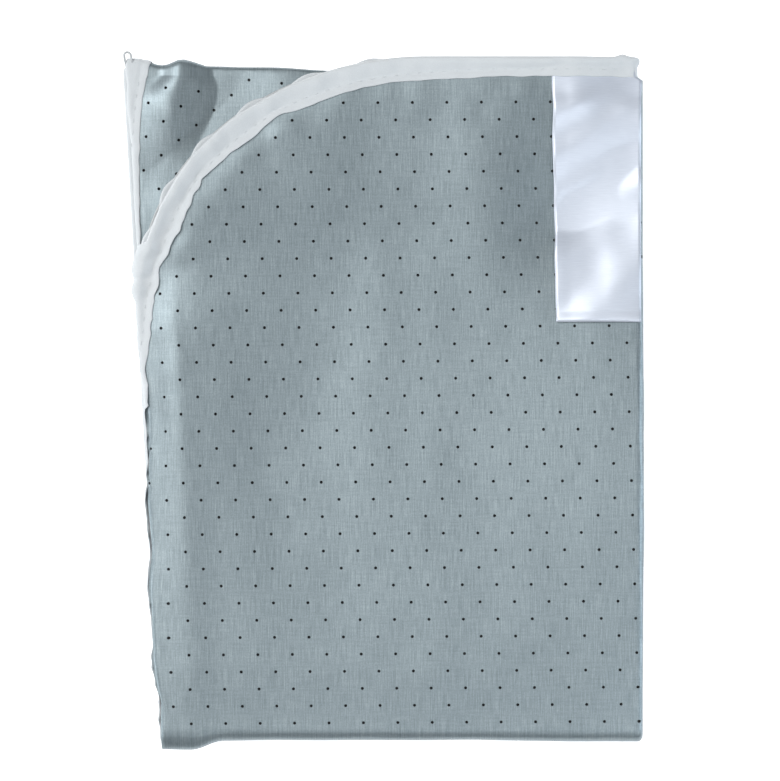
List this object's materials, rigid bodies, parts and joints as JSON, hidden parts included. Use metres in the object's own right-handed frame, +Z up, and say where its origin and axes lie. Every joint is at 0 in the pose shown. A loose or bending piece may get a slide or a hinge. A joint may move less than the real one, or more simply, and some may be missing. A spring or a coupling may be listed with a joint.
{
  "type": "ironing board cover",
  "caption": "Folded ironing board cover of perforated silver cloth with a thin pad, a gathered white edge binding, a drawcord in the binding and a satin label.",
  "frame": {"origin": "under the middle of the folded pile, on the surface that it lies on", "axes": "+Z up out of the pile; +Y along the cover, towards its tail end; +X towards the lengthwise fold"},
  "size_m": [0.2244, 0.2974, 0.0204],
  "materials": {
    "silver_cloth": "metallised cotton, satin sheen, punched with small holes",
    "felt_pad": "thin dark needled felt",
    "white_tape": "matt white cotton tape, puckered",
    "cord": "thin braided cord",
    "satin": "white satin ribbon"
  },
  "bodies": {
    "nose_panel": {"nose_cloth": "silver_cloth", "nose_pad": "felt_pad", "nose_binding": "white_tape", "nose_drawcord": "cord"},
    "fore_panel": {"fore_cloth": "silver_cloth", "fore_pad": "felt_pad", "fore_binding_upper": "white_tape", "fore_binding_lower": "white_tape", "fore_drawcord_upper": "cord", "fore_drawcord_lower": "cord"},
    "rear_panel": {"rear_cloth": "silver_cloth", "rear_pad": "felt_pad", "rear_binding_upper": "white_tape", "rear_binding_lower": "white_tape", "rear_drawcord_upper": "cord", "rear_drawcord_lower": "cord", "drawcord_loop": "cord"},
    "tail_panel": {"tail_cloth": "silver_cloth", "tail_pad": "felt_pad", "tail_binding": "white_tape", "tail_drawcord": "cord"},
    "label_flap": {"label": "satin"}
  },
  "joints": [
    {"name": "last_fold", "type": "hinge", "parent": "nose_panel", "child": "fore_panel", "pos_m": [0, -0.14883, 0.005], "axis": [1, 0, 0], "range_deg": [0, 175]},
    {"name": "middle_fold", "type": "hinge", "parent": "fore_panel", "child": "rear_panel", "pos_m": [0, 0.14337, 0.0102], "axis": [-1, 0, 0], "range_deg": [0, 175]},
    {"name": "first_fold", "type": "hinge", "parent": "rear_panel", "child": "tail_panel", "pos_m": [0, -0.14883, 0.0154], "axis": [1, 0, 0], "range_deg": [0, 175]},
    {"name": "label_lift", "type": "hinge", "parent": "tail_panel", "child": "label_flap", "pos_m": [0.0918, 0.13467, 0.02045], "axis": [-1, 0, 0], "range_deg": [0, 165]}
  ]
}
